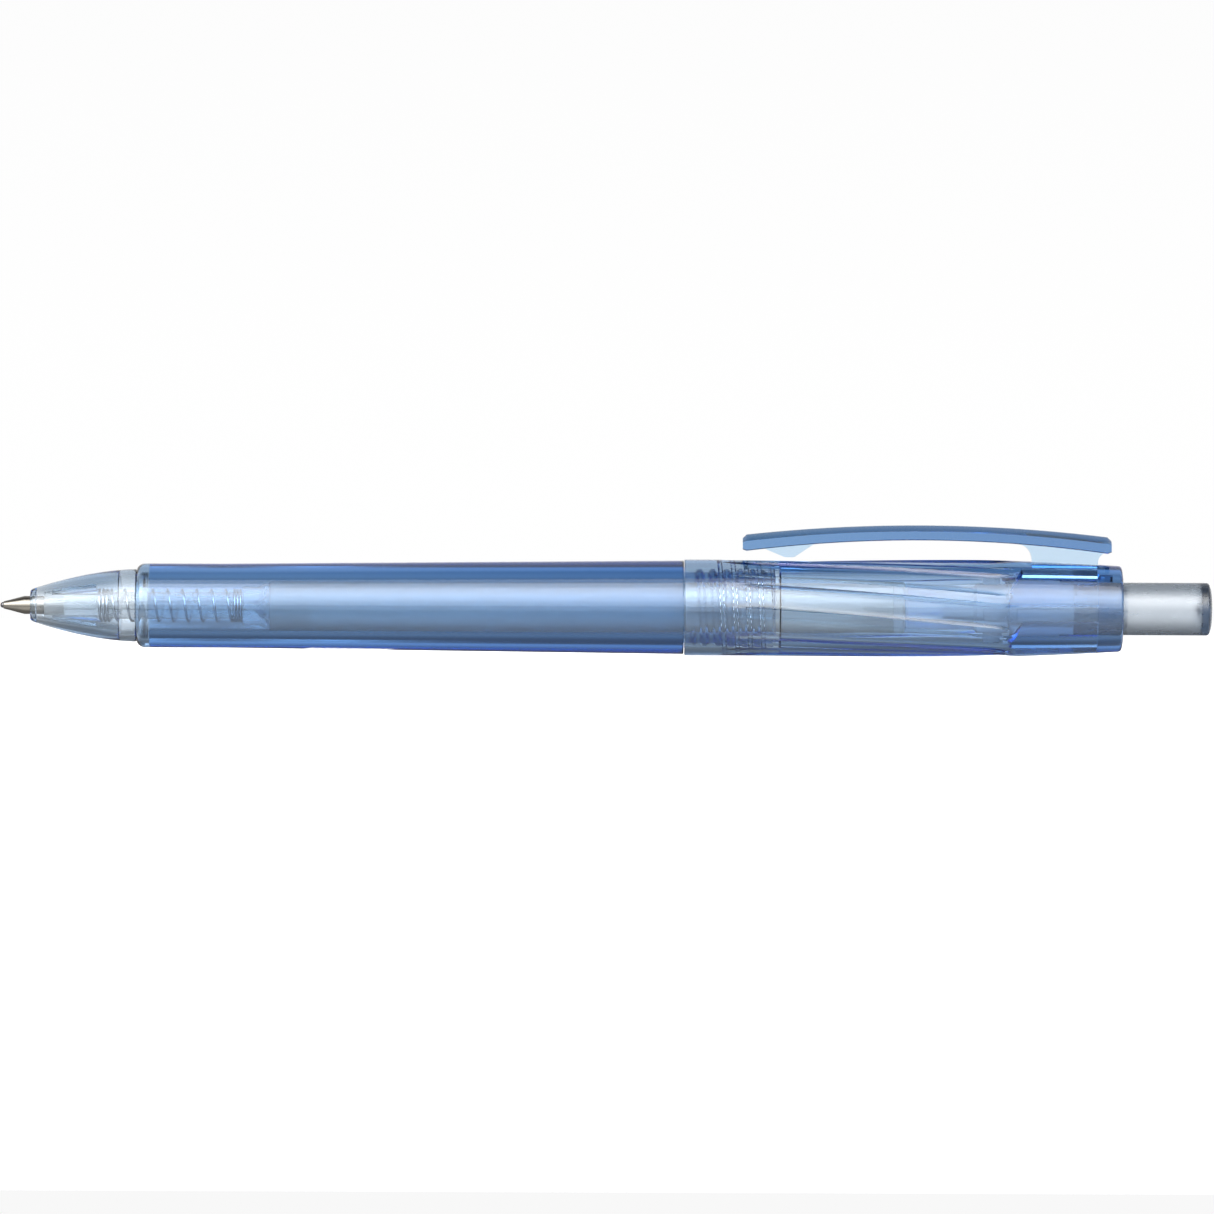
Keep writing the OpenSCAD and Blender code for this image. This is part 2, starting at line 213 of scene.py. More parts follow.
def soften(outline, radius=0.12, steps=3):
    """Rounds the corners of a closed (t, r) outline. Points on the axis and gentle bends stay."""
    out = []
    n = len(outline)
    for i, here in enumerate(outline):
        p = Vector(here[:2])
        a = Vector(outline[i - 1][:2]) - p
        b = Vector(outline[(i + 1) % n][:2]) - p
        bend = math.pi - a.angle(b, math.pi)
        if p.y < 1e-6 or bend < 0.35:
            out.append(tuple(here))
            continue
        reach = min(radius * math.tan(bend / 2), a.length * 0.4, b.length * 0.4)
        start, end = p + a.normalized() * reach, p + b.normalized() * reach
        for k in range(steps + 1):
            u = k / steps
            q = start * (1 - u) ** 2 + p * 2 * u * (1 - u) + end * u ** 2
            out.append((q.x, q.y) + tuple(here[2:]))
    return out


def shade(bm, sharp=32):
    """Smooth faces, with sharp edges where faces turn by more than this many degrees."""
    for face in bm.faces:
        face.smooth = True
    for edge in bm.edges:
        edge.smooth = len(edge.link_faces) == 2 and edge.calc_face_angle(0) < math.radians(sharp)


def skin(bm, rings):
    """Closes a run of rings into a solid: faces between them, and one at each end."""
    for a, b in zip(rings, rings[1:]):
        for i in range(len(a)):
            j = (i + 1) % len(a)
            bm.faces.new([a[i], a[j], b[j], b[i]])
    bm.faces.new(rings[0])
    bm.faces.new(rings[-1])


def finish_mesh(name, bm, material, sharp=32):
    """Makes the object, with its normals outward."""
    bmesh.ops.recalc_face_normals(bm, faces=bm.faces)
    shade(bm, sharp)
    mesh = bpy.data.meshes.new(name)
    bm.to_mesh(mesh)
    bm.free()
    mesh.materials.append(material)
    obj = bpy.data.objects.new(name, mesh)
    bpy.context.scene.collection.objects.link(obj)
    return obj


def turned(name, outline, material, sides=144, angles=None, warp=None, sharp=32):
    """Turns an outline of (t, r, haze) points about the axis. haze marks a moulded inside surface.
    warp(i, t, r, angle) gives a point's own t, r and angle, for flutes, threads and ribs."""
    angles = angles or [360 * j / sides for j in range(sides)]
    bm = bmesh.new()
    haze = bm.verts.layers.float.new("haze")
    columns = []
    axis_verts = {}
    for angle in angles:
        column = []
        for i, point in enumerate(outline):
            t, r = point[:2]
            if r < 1e-6:
                if i not in axis_verts:
                    axis_verts[i] = bm.verts.new(at(t, 0, 0))
                vert = axis_verts[i]
            else:
                place = warp(i, t, r, angle) if warp else (t, r, angle)
                vert = bm.verts.new(at(*place))
            vert[haze] = point[2] if len(point) > 2 else 0
            column.append(vert)
        columns.append(column)
    count = len(outline)
    for j, column in enumerate(columns):
        following = columns[(j + 1) % len(columns)]
        for i in range(count):
            k = (i + 1) % count
            corners = [column[i], column[k], following[k], following[i]]
            unique = list(dict.fromkeys(corners))
            if len(unique) > 2:
                bm.faces.new(unique)
    return finish_mesh(name, bm, material, sharp)


def plate(name, outline, width, material):
    """A flat plate whose side outline is (t, height above the axis)."""
    bm = bmesh.new()
    skin(bm, [[bm.verts.new((TIP_X + t * MM, side * width / 2 * MM, AXIS_Z + h * MM)) for t, h in outline]
              for side in (-1, 1)])
    return finish_mesh(name, bm, material)


def combine(obj, others, operation):
    """Joins the other closed meshes to obj, or cuts them out of it, and deletes them."""
    for other in others:
        step = obj.modifiers.new("combine", "BOOLEAN")
        step.operation = operation
        step.solver = "EXACT"
        step.object = other
        depsgraph = bpy.context.evaluated_depsgraph_get()
        mesh = bpy.data.meshes.new_from_object(obj.evaluated_get(depsgraph))
        obj.modifiers.clear()
        obj.data = mesh
    for other in others:
        bpy.data.objects.remove(other)
    bm = bmesh.new()
    bm.from_mesh(obj.data)
    bmesh.ops.remove_doubles(bm, verts=bm.verts, dist=2e-6)
    bmesh.ops.dissolve_degenerate(bm, dist=1e-6, edges=bm.edges)
    shade(bm)
    bm.to_mesh(obj.data)
    bm.free()


def settle(obj, body, slot, *nodes):
    """Puts a piece on its body, and hides the CAD nodes it stands for."""
    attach(obj, body)
    if nodes:
        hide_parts(*nodes)


# ---------------------------------------------------------------- materials
def material(name):
    """A new material, with its nodes, their links and its main shader."""
    mat = bpy.data.materials.new(name)
    mat.use_nodes = True
    nodes = mat.node_tree.nodes
    return mat, nodes, mat.node_tree.links, nodes["Principled BSDF"]


def noise(nodes, links, scale, detail=3, stretch=(1, 1, 1)):
    """Noise in the object's own space, scale in cells a millimetre."""
    place = nodes.new("ShaderNodeTexCoord")
    size = nodes.new("ShaderNodeMapping")
    size.inputs["Scale"].default_value = [scale / MM * s for s in stretch]
    tex = nodes.new("ShaderNodeTexNoise")
    tex.inputs["Scale"].default_value = 1
    tex.inputs["Detail"].default_value = detail
    links.new(place.outputs["Object"], size.inputs["Vector"])
    links.new(size.outputs["Vector"], tex.inputs["Vector"])
    return tex.outputs["Fac"]


def spread(nodes, links, value, low, high):
    """Maps a noise value onto low to high."""
    node = nodes.new("ShaderNodeMapRange")
    node.inputs["From Min"].default_value = 0.3
    node.inputs["From Max"].default_value = 0.7
    node.inputs["To Min"].default_value = low
    node.inputs["To Max"].default_value = high
    links.new(value, node.inputs["Value"])
    return node.outputs["Result"]


def bump(nodes, links, value, depth_mm, shader):
    """Fine relief on the surface from a noise value."""
    node = nodes.new("ShaderNodeBump")
    node.inputs["Strength"].default_value = 1
    node.inputs["Distance"].default_value = depth_mm * MM
    links.new(value, node.inputs["Height"])
    links.new(node.outputs["Normal"], shader.inputs["Normal"])


def clear_plastic(name, absorb, rough=(0.02, 0.05), haze_rough=0.05, ior=1.57):
    """Clear moulded plastic: colour comes from its depth (absorb is red, green and blue per
    millimetre), the outside is polished, and the moulded inside is slightly hazy."""
    mat, nodes, links, shader = material(name)
    shader.inputs["Base Color"].default_value = (1, 1, 1, 1)
    shader.inputs["Transmission Weight"].default_value = 1
    shader.inputs["IOR"].default_value = ior
    haze = nodes.new("ShaderNodeAttribute")
    haze.attribute_name = "haze"
    grain = spread(nodes, links, noise(nodes, links, 0.8, 4, (0.3, 1, 1)), rough[0], rough[1])
    total = nodes.new("ShaderNodeMath")
    total.operation = "MULTIPLY_ADD"
    total.inputs[1].default_value = haze_rough
    links.new(haze.outputs["Fac"], total.inputs[0])
    links.new(grain, total.inputs[2])
    links.new(total.outputs["Value"], shader.inputs["Roughness"])
    density = max(absorb) / MM
    volume = nodes.new("ShaderNodeVolumeAbsorption")
    volume.inputs["Density"].default_value = density
    volume.inputs["Color"].default_value = [1 - a / MM / density for a in absorb] + [1]
    links.new(volume.outputs["Volume"], nodes["Material Output"].inputs["Volume"])
    return mat


def metal(name, colour, rough, lathe_lines=False):
    """Metal with fine turning marks round the pen's axis, or drawing marks."""
    mat, nodes, links, shader = material(name)
    shader.inputs["Base Color"].default_value = colour + (1,)
    shader.inputs["Metallic"].default_value = 1
    stretch = (8, 0.4, 0.4) if lathe_lines else (1, 1, 1)
    marks = noise(nodes, links, 3, 4, stretch)
    links.new(spread(nodes, links, marks, rough[0], rough[1]), shader.inputs["Roughness"])
    bump(nodes, links, marks, 0.0012 if lathe_lines else 0.0004, shader)
    return mat


def milky_plastic(name, tint, clear, rough, absorb=0.05, ior=1.3):
    """Translucent plastic that lets most light through and scatters it."""
    mat, nodes, links, shader = material(name)
    shader.inputs["Transmission Weight"].default_value = clear
    shader.inputs["IOR"].default_value = ior
    cloud = noise(nodes, links, 0.5, 3, (0.2, 1, 1))
    ramp = nodes.new("ShaderNodeMix")
    ramp.data_type = "RGBA"
    ramp.inputs["A"].default_value = tuple(c * 0.96 for c in tint) + (1,)
    ramp.inputs["B"].default_value = tint + (1,)
    links.new(cloud, ramp.inputs["Factor"])
    links.new(ramp.outputs["Result"], shader.inputs["Base Color"])
    links.new(spread(nodes, links, cloud, rough[0], rough[1]), shader.inputs["Roughness"])
    volume = nodes.new("ShaderNodeVolumeAbsorption")
    volume.inputs["Density"].default_value = absorb / MM
    volume.inputs["Color"].default_value = (0.1, 0.25, 0.5, 1)
    links.new(volume.outputs["Volume"], nodes["Material Output"].inputs["Volume"])
    return mat


barrel_blue = clear_plastic("barrel_blue", (0.4, 0.23, 0.082), haze_rough=0.08)
rear_blue = clear_plastic("rear_blue", (0.4, 0.235, 0.085), haze_rough=0.03)
clip_blue = clear_plastic("clip_blue", (0.47, 0.275, 0.13))
button_blue = clear_plastic("button_blue", (0.44, 0.35, 0.26), rough=(0.24, 0.32), haze_rough=0.2)
nose_clear = clear_plastic("nose_clear", (0.32, 0.2, 0.09), haze_rough=0.06)
holder_clear = milky_plastic("holder_clear", (0.93, 0.93, 0.91), 0.76, (0.2, 0.3), ior=1.15)
cam_clear = milky_plastic("cam_clear", (0.8, 0.84, 0.88), 0.85, (0.3, 0.4), ior=1.2)
ink_gel = clear_plastic("ink_gel", (0.06, 0.03, 0.01), rough=(0.05, 0.1), ior=1.3)
grease = clear_plastic("follower_grease", (0.03, 0.02, 0.02), rough=(0.1, 0.2), ior=1.3)
tube_milky = milky_plastic("tube_milky", (0.94, 0.9, 0.84), 0.74, (0.35, 0.45))
nickel_silver = metal("nickel_silver", (0.22, 0.205, 0.18), (0.14, 0.26), lathe_lines=True)
spring_wire = metal("spring_wire", (0.42, 0.42, 0.43), (0.12, 0.2))
carbide = metal("carbide", (0.12, 0.12, 0.125), (0.05, 0.12))


# ---------------------------------------------------------------- pieces
def nose_curve(steps=36):
    """The nose's outside, from its lip to its back."""
    out = []
    for i in range(steps + 1):
        u = i / steps
        r = NOSE_FRONT_R + (NOSE_BACK_R - NOSE_FRONT_R) * (1 - (1 - u) ** NOSE_SWELL)
        out.append((NOSE_FRONT + NOSE_LIP + u * (NOSE_BACK - NOSE_FRONT - NOSE_LIP), r))
    return out


def make_nose():
    """The clear cone with its tenon, and the ribs inside it that the spring pushes on."""
    bore_at = NOSE_FRONT + NOSE_WALL
    window_r = TENON_R - TENON_WALL
    outline = [(NOSE_FRONT, NOSE_HOLE_R), (NOSE_FRONT, NOSE_FRONT_R - 0.2)] + nose_curve() + [
        (NOSE_BACK, TENON_R), (TENON_END, TENON_R), (TENON_END, window_r, 1), (WINDOW_AT, window_r, 1),
        (WINDOW_AT, CONE_BORE_TO, 1), (bore_at, CONE_BORE_FROM, 1), (bore_at, NOSE_HOLE_R, 1)]
    nose = turned("nose_cone_clear", soften(outline, 0.1), nose_clear)
    grow = (CONE_BORE_TO - CONE_BORE_FROM) / (WINDOW_AT - bore_at)
    bury = 0.2
    wall = [(t, CONE_BORE_FROM + grow * (t - bore_at) + bury) for t in (SEAT_RIB_FROM, SPRING_SEAT)]
    outline = [(SEAT_RIB_FROM, SEAT_RIB_R), wall[0], wall[1], (SPRING_SEAT, SEAT_RIB_R)]
    ribs = []
    for k in range(SEAT_RIBS):
        rib = plate("seat_rib", outline, SEAT_RIB_WIDTH, nose_clear)
        turn = Matrix.Rotation(math.radians((k + 0.5) * 360 / SEAT_RIBS), 4, "X")
        rib.data.transform(Matrix.Translation((0, 0, AXIS_Z)) @ turn @ Matrix.Translation((0, 0, -AXIS_Z)))
        ribs.append(rib)
    combine(nose, ribs, "UNION")
    settle(nose, "front_half", "nose_plastic", "nose_cone")


def thread_phase(t, angle):
    """The share of the pitch that has passed at t, on a right-handed helix."""
    return ((t - THREAD_PITCH * angle / 360) / THREAD_PITCH) % 1


def fade(start, end, t, run):
    """1 between start and end, and 0 outside, with a smooth change over run at each of them."""
    return smooth(start, start + run, t) * (1 - smooth(end - run, end, t))


def thread_lift(t, angle):
    """How far the thread stands out, 0 to 1."""
    u = thread_phase(t, angle)
    ridge = min(1, u / RIDGE_FLANK) - min(1, max(0, (u - RIDGE_FALL) / RIDGE_FLANK))
    return ridge * fade(THREAD_FROM, THREAD_TO, t, 0.6)


def nut_sink(t, angle):
    """How far the rear barrel's own ridges stand into its socket, between those of the neck."""
    u = thread_phase(t, angle)
    ridge = min(1, max(0, (NUT_HALF - abs(u - NUT_MIDDLE)) / NUT_FLANK))
    return NUT_DEPTH * ridge * fade(NUT_FROM, NUT_TO, t, 0.5)


def make_front_barrel():
    """The grip and body with a rounded front edge, and the threaded neck."""
    edge_r = NOSE_BACK_R - 0.1
    edge = [(FRONT_AT, TENON_R + GAP), (FRONT_AT, edge_r)]
    for k in range(1, 9):
        a = math.pi / 2 * k / 8
        edge.append((FRONT_AT + FRONT_ROUND * (1 - math.cos(a)), edge_r + (GRIP_R - edge_r) * math.sin(a)))
    body = [(GRIP_END, GRIP_R), (JOINT_AT - 0.06, JOINT_R), (JOINT_AT, JOINT_R - 0.05), (JOINT_AT, NECK_R)]
    rings = 190
    neck = [(THREAD_FROM + (THREAD_TO - THREAD_FROM) * k / rings, NECK_R) for k in range(rings + 1)]
    inside = [(NECK_END - 0.15, NECK_R), (NECK_END, NECK_R - 0.15), (NECK_END, NECK_BORE_R, 1),
              (TENON_END + 0.6, FRONT_BORE_R, 1), (TENON_END + 0.1, FRONT_BORE_R, 1),
              (TENON_END + 0.1, TENON_R + GAP, 1)]
    outline = edge + body + neck + inside
    first = len(edge) + len(body)

    def warp(i, t, r, angle):
        if first <= i < first + len(neck):
            r += (CREST_R - NECK_R) * thread_lift(t, angle)
        return t, r, angle

    barrel = turned("front_barrel_blue", outline, barrel_blue, sides=160, warp=warp)
    settle(barrel, "front_half", "barrel_plastic", "front_barrel")


def flute_twist(t):
    """How far the flutes have turned at t, in degrees. Behind them the mesh turns back."""
    u = min(1, max(0, (t - FLUTE_FROM) / (FLUTE_TO - FLUTE_FROM)))
    return (FLUTE_TWIST * u + FLUTE_TWIST_MORE * u * u) * (1 - smooth(FLUTE_TO, TAIL_AT - 1, t))


def flute_sink(t, angle):
    """How deep the flutes cut at t, on the line that starts at this angle, in millimetres."""
    phase = ((angle - FLUTE_ANGLE) * FLUTES / 360) % 1
    across = min(1, abs(phase - 0.5) * 2 / (1 - FLUTE_LAND))
    share = smooth(FLUTE_FROM, FLUTE_FROM + 6, t) * (1 - smooth(FLUTE_TO - 4, FLUTE_TO, t))
    return FLUTE_DEPTH * share * (1 - across ** 5)


def rib_front(angle):
    """Where the cam's guide ribs start at this angle, or None in a slot."""
    turn = (angle - SLOT_ANGLE - SLOT_WIDTH / 2) % (360 / SLOTS)
    width = 360 / SLOTS - SLOT_WIDTH
    if turn > width:
        return None
    if turn < CATCH_WIDTH:
        return CATCH_FROM + (CATCH_TO - CATCH_FROM) * turn / CATCH_WIDTH
    return RELEASE_FROM + (GUIDE_AT - RELEASE_FROM) * (turn - CATCH_WIDTH) / (width - CATCH_WIDTH)


def rib_angle(angle):
    """Moves a place on a rib's inside, so that the slots between the ribs have parallel walls."""
    half = SLOT_WIDTH / 2
    inset = math.degrees(math.asin(REAR_BORE_R / GUIDE_R * math.sin(math.radians(half)))) - half
    turn = (angle - SLOT_ANGLE - half) % (360 / SLOTS)
    return angle + inset * (1 - 2 * turn / (360 / SLOTS - SLOT_WIDTH))


def rear_radius(t):
    """The rear barrel's outside radius at t, without its flutes."""
    if t < WIDEST_AT:
        return REAR_FRONT_R + (REAR_R - REAR_FRONT_R) * (t - REAR_AT) / (WIDEST_AT - REAR_AT)
    share = (t - WIDEST_AT) / (TAIL_AT - TAIL_ROUND - WIDEST_AT)
    return REAR_R - (REAR_R - TAIL_R) * share ** TAIL_SWELL


def rear_angles():
    """Even steps round the barrel, with a close pair at each wall of the ribs and teeth, and one at
    each edge of a flute."""
    fixed = []
    for k in range(SLOTS):
        start = SLOT_ANGLE + SLOT_WIDTH / 2 + k * 360 / SLOTS
        for wall in (start, start + CATCH_WIDTH, start + 360 / SLOTS - SLOT_WIDTH):
            fixed += [wall - 0.2, wall + 0.2]
    for k in range(FLUTES):
        middle = FLUTE_ANGLE + k * 360 / FLUTES
        half_land = FLUTE_LAND * 180 / FLUTES
        fixed += [middle - half_land, middle + half_land]
    fixed = [a % 360 for a in fixed]
    even = [j * 360 / 270 for j in range(270)]
    kept = [a for a in even if all(abs((a - f + 180) % 360 - 180) > 0.4 for f in fixed)]
    return sorted(kept + fixed)


def make_rear_barrel():
    """The barrel with flutes outside, cam ribs and the thread's socket inside, and the clip's pocket."""
    steps = 110
    outer = []
    for k in range(steps + 1):
        t = REAR_AT + 0.05 + (TAIL_AT - TAIL_ROUND - 0.05 - REAR_AT) * k / steps
        outer.append((t, rear_radius(t)))
    tail = []
    for degrees in range(10, 81, 10):
        a = math.radians(degrees)
        tail.append((TAIL_AT - TAIL_ROUND + TAIL_CORNER * math.sin(a),
                     TAIL_R - TAIL_CORNER + TAIL_CORNER * math.cos(a)))
    tail += [(TAIL_AT - 0.05, 4.3), (TAIL_AT, TAIL_BORE_R + 0.2), (TAIL_AT - 0.1, TAIL_BORE_R)]
    inner = [(GUIDE_END + 0.06, TAIL_BORE_R, 1), (GUIDE_END, GUIDE_R, 1), (GUIDE_AT + 0.03, GUIDE_R, 1),
             (GUIDE_AT, REAR_BORE_R, 1), (GUIDE_AT - 3, REAR_BORE_R, 1), (SOCKET_END, REAR_BORE_R, 1)]
    rings = 180
    nut_end = SOCKET_END - 0.2
    nut = [(nut_end + (NUT_FROM - nut_end) * k / rings, SOCKET_R, 1) for k in range(rings + 1)]
    mouth = [(REAR_AT + 0.1, SOCKET_R, 1), (REAR_AT, SOCKET_R + 0.1), (REAR_AT, REAR_FRONT_R - 0.05)]
    outline = outer + tail + inner + nut + mouth
    guide_top = len(outer) + len(tail) + 1
    nut_first = len(outer) + len(tail) + len(inner)

    def warp(i, t, r, angle):
        if i < len(outer):
            return t, r - flute_sink(t, angle), angle + flute_twist(t)
        front = rib_front(angle)
        if guide_top <= i <= guide_top + 2 and front is None:
            return t, REAR_BORE_R, angle
        if i == guide_top:
            return t, GUIDE_R, rib_angle(angle)
        if i == guide_top + 1:
            return front, GUIDE_R, rib_angle(angle)
        if i == guide_top + 2:
            return front - 0.02, REAR_BORE_R, angle
        if nut_first <= i < nut_first + len(nut):
            return t, r - nut_sink(t, angle), angle
        return t, r, angle

    barrel = turned("rear_barrel_blue", outline, rear_blue, angles=rear_angles(), warp=warp, sharp=14)
    pocket = plate("pocket", POCKET, WEB_WIDTH + 2 * GAP, rear_blue)
    combine(barrel, [pocket], "DIFFERENCE")
    settle(barrel, "rear_half", "barrel_plastic", "rear_barrel")


def clip_top(t):
    """The height of the arm's top above the axis."""
    return CLIP_TOP - (t - CLIP_MID) ** 2 / (2 * CLIP_TOP_SAG)


def clip_low(t):
    """The height of the arm's underside above the axis."""
    return CLIP_TOP - CLIP_THICK - (t - CLIP_MID) ** 2 / (2 * CLIP_LOW_SAG)


def clip_section(t):
    """The arm's outline across the pen at t, as (y, height above the axis), crowned on top."""
    near_end = min(1, min(t - CLIP_TIP, CLIP_END - t) / CLIP_CORNER)
    tuck = CLIP_CORNER * (1 - math.sqrt(max(0, 1 - (1 - near_end) ** 2)))
    widening = min(1, (t - CLIP_TIP) / (CLIP_END - CLIP_TIP) / 0.7)
    half = (CLIP_TIP_WIDTH + (CLIP_WIDTH - CLIP_TIP_WIDTH) * widening) / 2 - tuck * 0.5
    top, low = clip_top(t) - tuck, clip_low(t) + tuck * 0.6
    shoulder = low + (top - low) * 0.6
    crown = [(half * share, shoulder + (top - shoulder) * rise) for share, rise in CLIP_CROWN]
    right = [(half - CLIP_EDGE, low), (half, low + CLIP_EDGE), (half, shoulder)] + crown
    return right + [(-y, z) for y, z in reversed(right)]


def clip_web():
    """The web's side outline: hollow curves up to the arm at both ends, and its foot in the pocket."""
    top = clip_low(WEB_FRONT)
    front = []
    for k in range(8):
        a = math.pi / 2 * k / 7
        front.append((WEB_FRONT + (WEB_FOOT - WEB_FRONT) * math.sin(a),
                      top - (top - WEB_FOOT_H) * (1 - math.cos(a))))
    heel = []
    for k in range(7):
        a = math.pi / 2 * k / 6
        heel.append((WEB_BACK + WEB_HEEL * (1 - math.cos(a)),
                     clip_low(WEB_BACK) - WEB_HEEL + WEB_HEEL * math.sin(a)))
    back = WEB_BACK + WEB_HEEL
    return [(WEB_FRONT, top + 0.4)] + front + WEB_SINK + heel + [(back, clip_low(back) + 0.5)]


def clip_bump():
    """The side outline of the bump that grips a pocket's edge."""
    start, end = BUMP_FROM - 0.2, BUMP_TO + 0.3
    return ([(start, clip_low(start) + 0.3), (BUMP_FROM, clip_low(BUMP_FROM) - 0.05)] + BUMP_FOOT
            + [(BUMP_TO, clip_low(BUMP_TO) - 0.05), (end, clip_low(end) + 0.3)])


def make_clip():
    """The arm, swept from its tip to its heel and joined to its web and bump."""
    bm = bmesh.new()
    steps = 96
    rings = []
    for k in range(steps + 1):
        t = CLIP_TIP + (CLIP_END - CLIP_TIP) * k / steps
        rings.append([bm.verts.new((TIP_X + t * MM, y * MM, AXIS_Z + z * MM)) for y, z in clip_section(t)])
    skin(bm, rings)
    arm = finish_mesh("clip_blue", bm, clip_blue)
    web = plate("web", clip_web(), WEB_WIDTH, clip_blue)
    grip = plate("bump", clip_bump(), WEB_WIDTH, clip_blue)
    combine(arm, [web, grip], "UNION")
    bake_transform(arm)
    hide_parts("clip_root", "clip_arm")


def make_button():
    """The hollow button, with a rounded edge, a slightly domed end and a dished floor."""
    outline = [(BUTTON_FRONT, BUTTON_BORE_R), (BUTTON_FRONT, BUTTON_R)]
    for degrees in range(0, 81, 16):
        a = math.radians(degrees)
        outline.append((PEN_LEN - 0.75 + BUTTON_CORNER * math.sin(a),
                        BUTTON_R - BUTTON_CORNER + BUTTON_CORNER * math.cos(a)))
    outline += [(PEN_LEN - 0.02 - BUTTON_CROWN * (r / BUTTON_R) ** 2, r) for r in (2.4, 2, 1.5, 1, 0.5, 0)]
    outline += [(BUTTON_FLOOR - depth, r) for depth, r in
                ((0.6, 0), (0.45, 0.35), (0.05, 1.2), (0, 2.2), (0.15, 2.5), (0.4, BUTTON_BORE_R))]
    button = turned("push_button_blue", outline, button_blue)
    settle(button, "button", "button_plastic", "push_button")


def make_point():
    """The turned cone and shank, with the channel that feeds the ball."""
    outline = POINT_CONE + [(SHANK_END, SHANK_R), (SHANK_END, 0.42), (1.2, 0.42), (0.85, 0.37)]
    point = turned("point_metal", soften(outline, 0.05, 2), nickel_silver, sides=96)
    settle(point, "refill", "point_metal", "point")


def make_holder():
    """The holder: a socket for the shank, a long neck, a collar for the spring and a plug in the tube."""
    socket_r = SHANK_R + 0.02
    plug_r = TUBE_BORE_R - GAP
    outline = [(HOLDER_FROM, socket_r), (HOLDER_FROM, HOLDER_NECK_R - 0.15),
               (HOLDER_FROM + 0.15, HOLDER_NECK_R), (HOLDER_COLLAR, HOLDER_NECK_R),
               (HOLDER_COLLAR, HOLDER_COLLAR_R - 0.1), (HOLDER_COLLAR + 0.1, HOLDER_COLLAR_R),
               (31.65, HOLDER_COLLAR_R), (TUBE_FROM - 0.05, 2.98), (TUBE_FROM - 0.05, plug_r),
               (HOLDER_END, plug_r), (HOLDER_END, 2.05), (TUBE_FROM, 2.05), (31, CHANNEL_R),
               (SHANK_END + 0.05, CHANNEL_R), (SHANK_END + 0.05, socket_r)]
    holder = turned("point_holder_clear", soften(outline, 0.08, 2), holder_clear, sides=96)
    settle(holder, "refill", "holder_plastic", "point_holder")


def make_tube():
    """The milky ink tube, open at both ends."""
    outline = [(TUBE_FROM, TUBE_BORE_R, 1), (TUBE_FROM, TUBE_R),
               (TUBE_END, TUBE_R), (TUBE_END, TUBE_BORE_R, 1)]
    tube = turned("refill_tube_milky", soften(outline, 0.1, 2), tube_milky)
    settle(tube, "refill", "tube_plastic", "refill_tube")


def coil_advance(turns):
    """How far the wire has come along the pen after this many turns."""
    open_length = COIL_TO - COIL_FROM - CLOSED_FRONT - CLOSED_BACK - 2 * WIRE_R
    along = 0
    for count, length in zip(COIL_TURNS, (CLOSED_FRONT, open_length, CLOSED_BACK)):
        along += min(1, max(0, turns / count)) * length
        turns -= count
    return along


def make_spring():
    """The return spring: closed coils at both ends, open ones between."""
    ring_sides, per_turn = 12, 40
    bm = bmesh.new()
    rings = []
    for k in range(int(sum(COIL_TURNS) * per_turn) + 1):
        middle = COIL_FROM + WIRE_R + coil_advance(k / per_turn)
        ring = []
        for side in range(ring_sides):
            b = 2 * math.pi * side / ring_sides
            ring.append(bm.verts.new(at(middle + WIRE_R * math.sin(b), COIL_R + WIRE_R * math.cos(b),
                                        360 * k / per_turn)))
        rings.append(ring)
    skin(bm, rings)
    spring = finish_mesh("return_spring_wire", bm, spring_wire, sharp=50)
    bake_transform(spring)
    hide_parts("return_spring")


def dress(node, mat):
    """Gives a CAD node that stays in view its material."""
    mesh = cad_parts[node].data
    mesh.materials.clear()
    mesh.materials.append(mat)


# ---------------------------------------------------------------- studio
def make_camera():
    """Looks along +Y at the pen's side through a long lens, turned by the slight tilt of the view."""
    distance = 1.2
    width = 148.25 * MM
    tilt = 0.21
    aim = Vector((0.09 * MM, 0, AXIS_Z + 0.01 * MM))
    data = bpy.data.cameras.new("camera")
    data.sensor_width = 36
    data.lens = data.sensor_width * distance / width
    camera = bpy.data.objects.new("camera", data)
    bpy.context.scene.collection.objects.link(camera)
    camera.matrix_world = (Matrix.Translation(aim - Vector((0, distance, 0)))
                           @ Matrix.Rotation(math.pi / 2, 4, "X")
                           @ Matrix.Rotation(math.radians(tilt), 4, "Z"))
    bpy.context.scene.camera = camera


# Brightness of the room round the pen's axis, against the angle from the camera's side upwards
ROOM = [(-180, 1), (-172, 0.85), (-167, 0.3), (-156, 0.2), (-138, 0.22), (-116, 0.45), (-98, 0.4),
        (-75, 0.6), (-60, 1.3), (-40, 1.5), (-15, 1), (10, 0.9), (55, 0.6), (80, 0.2), (98, 0.15),
        (112, 0.5), (126, 0.65), (147, 0.6), (160, 0.8), (172, 0.95), (180, 1)]

# Softboxes on the camera's side: angle above the horizon and brightness
SOFTBOXES = [(-4, 0.9), (8, 2.7), (20, 4.8), (32, 6.8), (44, 6.9), (56, 4.2), (68, 1.4)]
# Small ones low behind the spring, with angles as in ROOM, and the stretch of the pen that they light
FILLS = [(-168, 1.2), (-156, 2.2)]
FILL_FROM = 18
FILL_TO = 33
SOFTBOX_DISTANCE = 0.6  # metres
SOFTBOX_LENGTH = 1.6
SOFTBOX_ANGLE = 12      # degrees that each one takes round the pen


